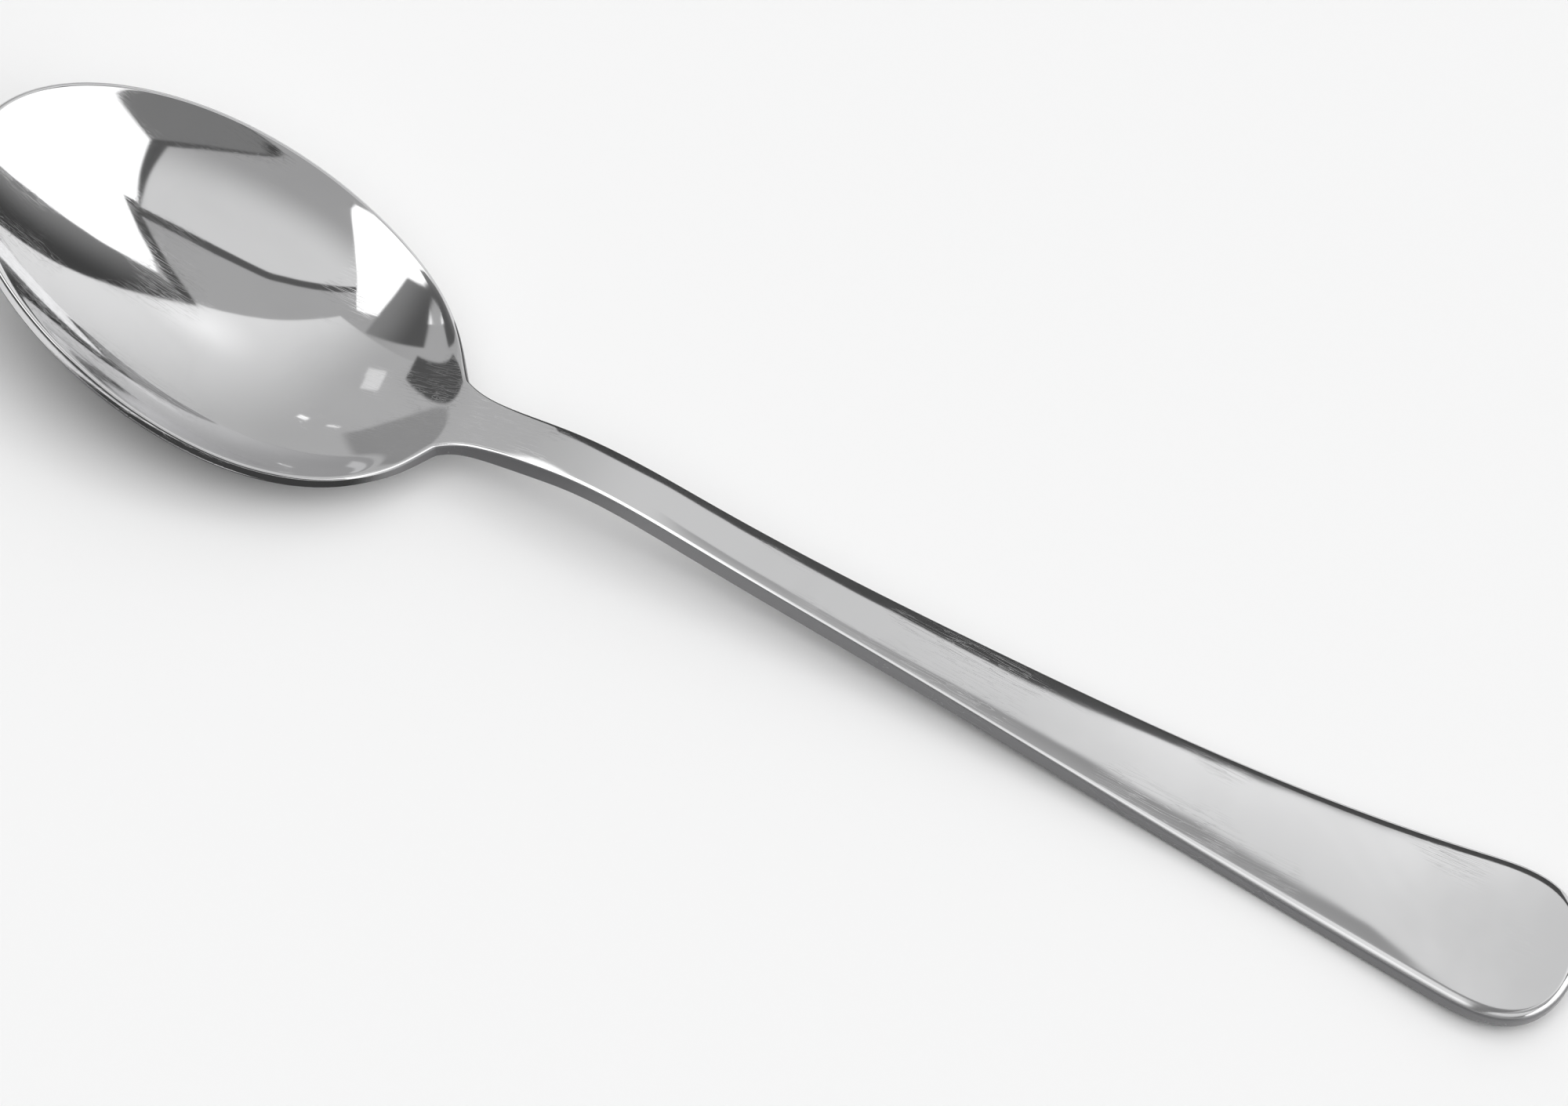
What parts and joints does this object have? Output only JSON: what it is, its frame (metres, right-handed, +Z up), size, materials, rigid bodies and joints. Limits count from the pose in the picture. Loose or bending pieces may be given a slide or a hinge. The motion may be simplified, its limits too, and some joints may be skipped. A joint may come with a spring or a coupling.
{
  "type": "dessert spoon",
  "caption": "One-piece polished steel dessert spoon: oval bowl, narrow arched neck and a flat handle that widens to a round end.",
  "frame": {"origin": "middle of the bounding box on the plane that the spoon rests on", "axes": "+X from the bowl's tip to the handle's end, +Z up out of the bowl's hollow"},
  "size_m": [0.182, 0.038, 0.0149],
  "materials": {
    "polished_steel": "mirror-polished stainless steel with faint fine scratches"
  },
  "bodies": {
    "root": {"spoon": "polished_steel"}
  },
  "joints": []
}
